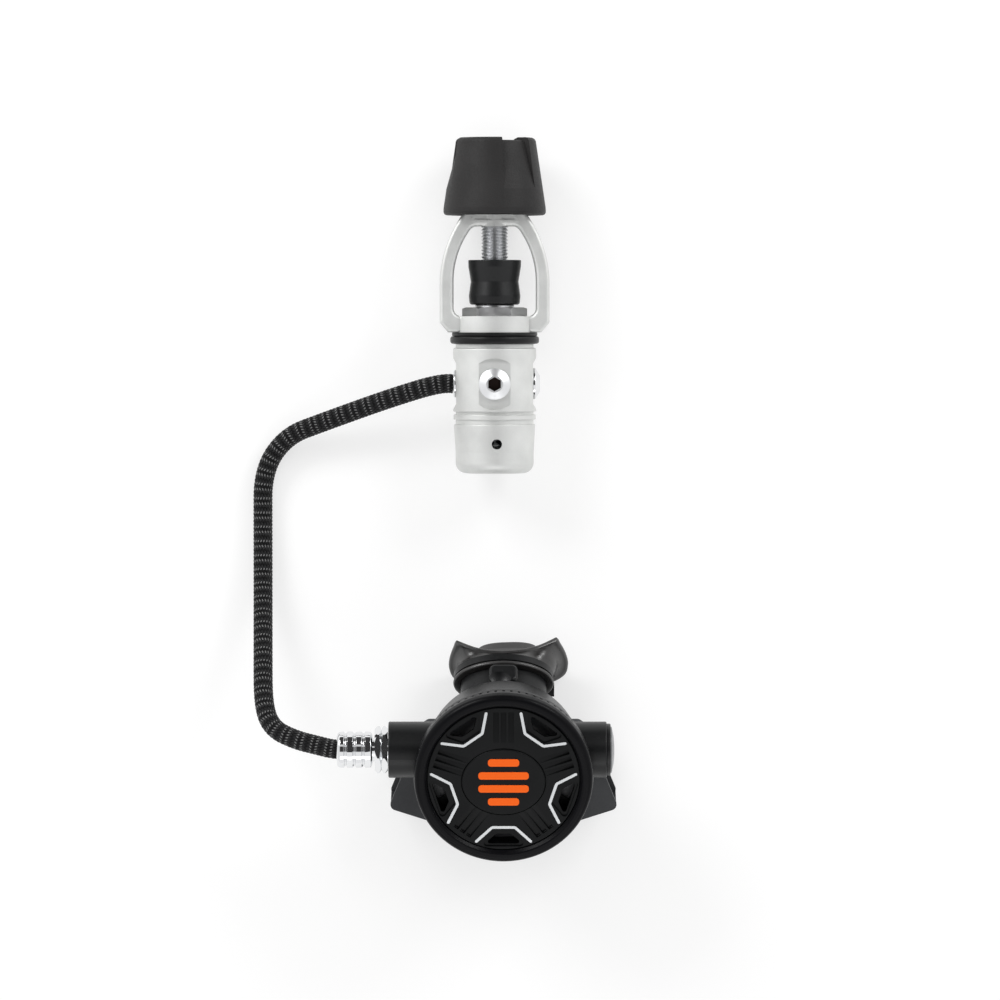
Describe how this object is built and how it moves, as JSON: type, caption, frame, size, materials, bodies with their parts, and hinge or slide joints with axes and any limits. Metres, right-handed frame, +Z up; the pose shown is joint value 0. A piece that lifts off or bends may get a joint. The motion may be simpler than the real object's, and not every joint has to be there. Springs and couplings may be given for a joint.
{
  "type": "scuba regulator set",
  "caption": "Yoke first stage with a lobed knob, joined by one braided hose to a round second stage with purge button, mouthpiece and exhaust tee.",
  "frame": {"origin": "middle of the set's bounding box without the hose, at the height of the table it lies on", "axes": "+Z up from the table, +Y along the first stage towards its knob, +X to the right seen from above"},
  "size_m": [0.1648, 0.3256, 0.0822],
  "materials": {
    "satin_chrome": "bead blasted, satin",
    "bright_chrome": "polished",
    "stainless": "drawn wire and pins",
    "knob_rubber": "matte",
    "cap_rubber": "satin",
    "ring_rubber": "smooth",
    "braid": "woven sleeve",
    "case_plastic": "fine grain",
    "tee_plastic": "fine grain",
    "ring_plastic": "satin",
    "cover_plastic": "fine grain",
    "trim": "silver paint",
    "bars": "satin orange",
    "silicone": "smooth silicone",
    "diaphragm_silicone": "smooth silicone",
    "seat_plastic": "machined",
    "bronze": "sintered",
    "brass": "turned",
    "dome_finish": "satin"
  },
  "bodies": {
    "first_stage": {"first_stage_body": "satin_chrome", "piston_cap": "satin_chrome", "piston_shaft_o_ring": "ring_rubber", "piston_spring": "stainless", "neck_spacer_ring": "ring_rubber", "neck_bumper_ring": "ring_rubber", "high_pressure_plug": "bright_chrome", "low_pressure_plugs": "bright_chrome", "port_o_rings": "ring_rubber", "hose_port_fitting": "bright_chrome", "yoke": "satin_chrome", "yoke_retainer": "bright_chrome", "inlet_filter": "bronze", "filter_circlip": "stainless", "hose": "braid", "hose_ferrule": "bright_chrome", "hose_stem": "bright_chrome", "hose_stem_o_ring": "ring_rubber"},
    "screw_pad": {"screw_tip_pad": "stainless"},
    "knob_and_screw": {"yoke_screw": "stainless", "knob_core": "brass", "knob_cross_pin": "stainless", "knob": "knob_rubber"},
    "dust_cap": {"dust_cap": "cap_rubber"},
    "piston": {"piston": "stainless", "high_pressure_seat": "seat_plastic", "piston_head_o_ring": "ring_rubber"},
    "second_stage": {"second_stage_case": "case_plastic", "front_ring": "ring_plastic", "purge_cover": "cover_plastic", "cover_trim_strips": "trim", "button_spring": "stainless", "diaphragm_clamp_ring": "cover_plastic", "diaphragm": "diaphragm_silicone", "inlet_barrel": "bright_chrome", "adjustable_orifice": "brass", "orifice_o_ring": "ring_rubber", "poppet_spring": "stainless", "end_plug": "case_plastic", "end_plug_dome": "dome_finish", "exhaust_valve": "silicone", "exhaust_tee": "tee_plastic", "mouthpiece": "silicone", "mouthpiece_strap": "case_plastic", "hose_swivel_nut": "bright_chrome"},
    "purge_button": {"purge_button": "cover_plastic", "button_grip_bars": "bars"},
    "diaphragm_plate": {"diaphragm_plate": "stainless"},
    "demand_lever": {"demand_lever": "stainless"},
    "poppet": {"poppet": "seat_plastic", "poppet_seat": "ring_rubber", "lever_nut": "stainless"},
    "airflow_lever": {"airflow_lever": "ring_plastic"}
  },
  "joints": [
    {"name": "knob_lift", "type": "slide", "parent": "first_stage", "child": "screw_pad", "axis": [0, 0.9995, 0.0331], "range_m": [0, 0.0086]},
    {"name": "knob_turn", "type": "hinge", "parent": "screw_pad", "child": "knob_and_screw", "pos_m": [-0.0017, 0.13243, 0.02328], "axis": [0, 0.9995, 0.0331], "range_deg": [0, 2040]},
    {"name": "dust_cap_lift", "type": "slide", "parent": "first_stage", "child": "dust_cap", "axis": [0, 0.9995, 0.0331], "range_m": [0, 0.0086]},
    {"name": "piston_slide", "type": "slide", "parent": "first_stage", "child": "piston", "axis": [0, 0.9995, 0.0331], "range_m": [0, 0.00115], "stiffness_N_per_m": 9000, "springref_m": -0.004, "deforming": ["piston_spring"]},
    {"name": "second_stage_swivel", "type": "hinge", "parent": "first_stage", "child": "second_stage", "pos_m": [0.0023, -0.1125, 0.04733], "axis": [1, 0, 0], "continuous": true},
    {"name": "purge_press", "type": "slide", "parent": "second_stage", "child": "purge_button", "axis": [0, 0.3256, -0.9455], "range_m": [0, 0.0027], "stiffness_N_per_m": 400, "springref_m": -0.003, "deforming": ["button_spring", "diaphragm"]},
    {"name": "plate_slide", "type": "slide", "parent": "second_stage", "child": "diaphragm_plate", "axis": [0, 0.3256, -0.9455], "range_m": [0, 0.00297]},
    {"name": "lever_hinge", "type": "hinge", "parent": "second_stage", "child": "demand_lever", "pos_m": [0.00835, -0.11474, 0.05386], "axis": [0, -0.9455, -0.3256], "range_deg": [0, 9.43]},
    {"name": "poppet_slide", "type": "slide", "parent": "second_stage", "child": "poppet", "axis": [1, 0, 0], "range_m": [0, 0.00121], "stiffness_N_per_m": 900, "springref_m": -0.004, "deforming": ["poppet_spring"]},
    {"name": "airflow_turn", "type": "hinge", "parent": "second_stage", "child": "airflow_lever", "pos_m": [0.0023, -0.08792, 0.02572], "axis": [0, 0.6561, 0.7547], "range_deg": [-15, 15]}
  ],
  "couplings": [
    {"joint": "knob_lift", "follows": "knob_turn", "m_per_rad": 0.00023873},
    {"joint": "dust_cap_lift", "follows": "knob_turn", "m_per_rad": 0.00023873},
    {"joint": "plate_slide", "follows": "purge_press", "ratio": 1},
    {"joint": "lever_hinge", "follows": "purge_press", "rad_per_m": 55.402},
    {"joint": "poppet_slide", "follows": "purge_press", "ratio": 0.40741}
  ]
}
